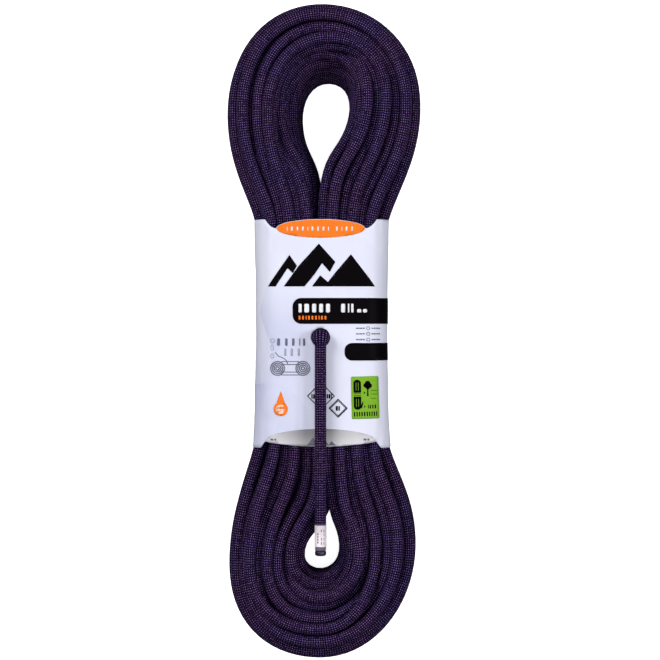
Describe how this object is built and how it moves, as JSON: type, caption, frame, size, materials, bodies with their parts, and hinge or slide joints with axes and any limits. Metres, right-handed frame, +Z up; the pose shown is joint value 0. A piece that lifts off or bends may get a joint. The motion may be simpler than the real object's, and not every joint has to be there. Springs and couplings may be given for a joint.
{
  "type": "dynamic climbing rope",
  "caption": "Long kernmantle climbing rope wound into a figure-eight hank, held by a printed sleeve, with its labelled end drawn out in front.",
  "frame": {"origin": "middle of the underside of the hank, on the surface it lies on", "axes": "+Y along the hank towards the end loop that the tail does not lie on, +Z up from the surface it lies on"},
  "size_m": [0.1578, 0.532, 0.0987],
  "materials": {
    "rope_sheath": "woven nylon, dark purple with lilac flecks, satin",
    "rope_core": "twisted white nylon",
    "sleeve_film": "coated wrapping sheet, pale lavender with prints, satin",
    "seam_tape": "translucent adhesive tape",
    "sticker_green": "printed sticker, satin",
    "end_label": "printed tape, satin",
    "shrink_sleeve": "clear shrunk tube, glossy",
    "fused_tip": "melted nylon, dark, glossy"
  },
  "bodies": {
    "hank": {"hank_upper_loop": "rope_sheath", "hank_lower_loop": "rope_sheath", "hank_waist_left": "rope_sheath", "hank_waist_right": "rope_sheath", "wrap_sheet": "sleeve_film", "wrap_seam_tape": "seam_tape", "recycling_sticker": "sticker_green", "inner_strand": "rope_sheath", "inner_end_label": "end_label", "inner_end_sleeve": "shrink_sleeve", "inner_fused_tip": "fused_tip"},
    "tail_root": {"tail_riser": "rope_sheath", "tail_knuckle": "rope_sheath"},
    "tail": {"tail_sheath": "rope_sheath", "core_strand_1": "rope_core", "core_strand_2": "rope_core", "core_strand_3": "rope_core", "core_strand_4": "rope_core", "core_strand_5": "rope_core", "core_strand_6": "rope_core", "core_strand_7": "rope_core", "tail_end_label": "end_label", "tail_end_sleeve": "shrink_sleeve", "tail_fused_tip": "fused_tip"}
  },
  "joints": [
    {"name": "tail_swing", "type": "hinge", "parent": "hank", "child": "tail_root", "pos_m": [-0.0027, -0.0057, 0.0914], "axis": [0, 0, 1], "range_deg": [-100, 100]},
    {"name": "tail_lift", "type": "hinge", "parent": "tail_root", "child": "tail", "pos_m": [-0.0027, -0.0057, 0.0914], "axis": [-1, 0, 0], "range_deg": [0, 150]}
  ]
}
